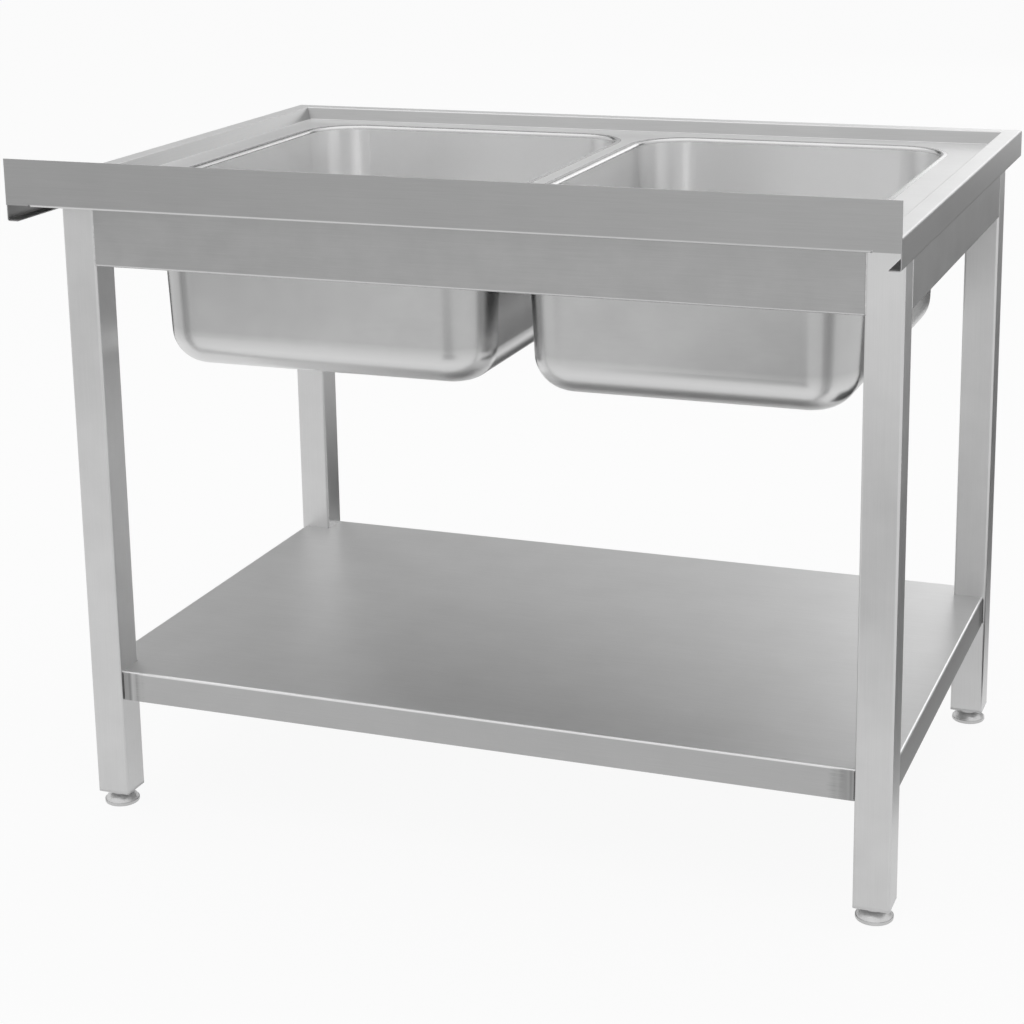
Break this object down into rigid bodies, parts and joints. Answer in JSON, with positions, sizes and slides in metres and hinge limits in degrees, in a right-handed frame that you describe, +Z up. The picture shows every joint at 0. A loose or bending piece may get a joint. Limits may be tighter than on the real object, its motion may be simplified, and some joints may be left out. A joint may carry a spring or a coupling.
{
  "type": "commercial double bowl sink",
  "caption": "Free-standing stainless steel sink unit: pressed bowls in a folded worktop with rear upstand, square tube legs, aprons, lower shelf and adjustable feet.",
  "frame": {"origin": "on the floor, under the middle of the unit's box", "axes": "+X along the length, +Y from the wall towards the user, +Z up"},
  "size_m": [1.1, 0.82, 0.89],
  "materials": {
    "brushed_sheet": "brushed stainless sheet, fine straight grain",
    "leg_tube": "brushed stainless tube, grain along the tube",
    "pressed_bowl": "pressed stainless, satin",
    "mill_sheet": "mill finish stainless",
    "fixing_steel": "plain zinc-plated steel",
    "polished_waste": "polished stainless",
    "polished_foot": "turned and polished stainless",
    "foot_plastic": "pale grey moulded polyamide",
    "nut_plastic": "white moulded polypropylene",
    "seal_rubber": "black moulded rubber",
    "stopper_rubber": "black moulded rubber"
  },
  "bodies": {
    "unit": {"worktop": "brushed_sheet", "rear_apron": "brushed_sheet", "front_apron": "brushed_sheet", "left_apron": "brushed_sheet", "right_apron": "brushed_sheet", "undershelf": "brushed_sheet", "bridge_stiffener": "mill_sheet", "shelf_stiffener": "mill_sheet", "left_bowl": "pressed_bowl", "right_bowl": "pressed_bowl", "worktop_studs": "fixing_steel", "stud_nuts": "fixing_steel", "rear_left_leg": "leg_tube", "rear_left_leg_plug": "foot_plastic", "rear_right_leg": "leg_tube", "rear_right_leg_plug": "foot_plastic", "front_left_leg": "leg_tube", "front_left_leg_plug": "foot_plastic", "front_right_leg": "leg_tube", "front_right_leg_plug": "foot_plastic", "left_waste_body": "polished_waste", "left_waste_gasket": "seal_rubber", "left_waste_seal": "seal_rubber", "left_waste_nut": "nut_plastic", "right_waste_body": "polished_waste", "right_waste_gasket": "seal_rubber", "right_waste_seal": "seal_rubber", "right_waste_nut": "nut_plastic"},
    "rear_left_foot": {"rear_left_foot_pad": "polished_foot", "rear_left_foot_stem": "fixing_steel"},
    "rear_right_foot": {"rear_right_foot_pad": "polished_foot", "rear_right_foot_stem": "fixing_steel"},
    "front_left_foot": {"front_left_foot_pad": "polished_foot", "front_left_foot_stem": "fixing_steel"},
    "front_right_foot": {"front_right_foot_pad": "polished_foot", "front_right_foot_stem": "fixing_steel"},
    "left_stopper": {"left_waste_stopper": "stopper_rubber"},
    "right_stopper": {"right_waste_stopper": "stopper_rubber"}
  },
  "joints": [
    {"name": "rear_left_foot_height", "type": "slide", "parent": "unit", "child": "rear_left_foot", "axis": [0, 0, -1], "range_m": [0, 0.025]},
    {"name": "rear_right_foot_height", "type": "slide", "parent": "unit", "child": "rear_right_foot", "axis": [0, 0, -1], "range_m": [0, 0.025]},
    {"name": "front_left_foot_height", "type": "slide", "parent": "unit", "child": "front_left_foot", "axis": [0, 0, -1], "range_m": [0, 0.025]},
    {"name": "front_right_foot_height", "type": "slide", "parent": "unit", "child": "front_right_foot", "axis": [0, 0, -1], "range_m": [0, 0.025]},
    {"name": "left_stopper_lift", "type": "slide", "parent": "unit", "child": "left_stopper", "axis": [0, 0, 1], "range_m": [0, 0.06]},
    {"name": "right_stopper_lift", "type": "slide", "parent": "unit", "child": "right_stopper", "axis": [0, 0, 1], "range_m": [0, 0.06]}
  ]
}
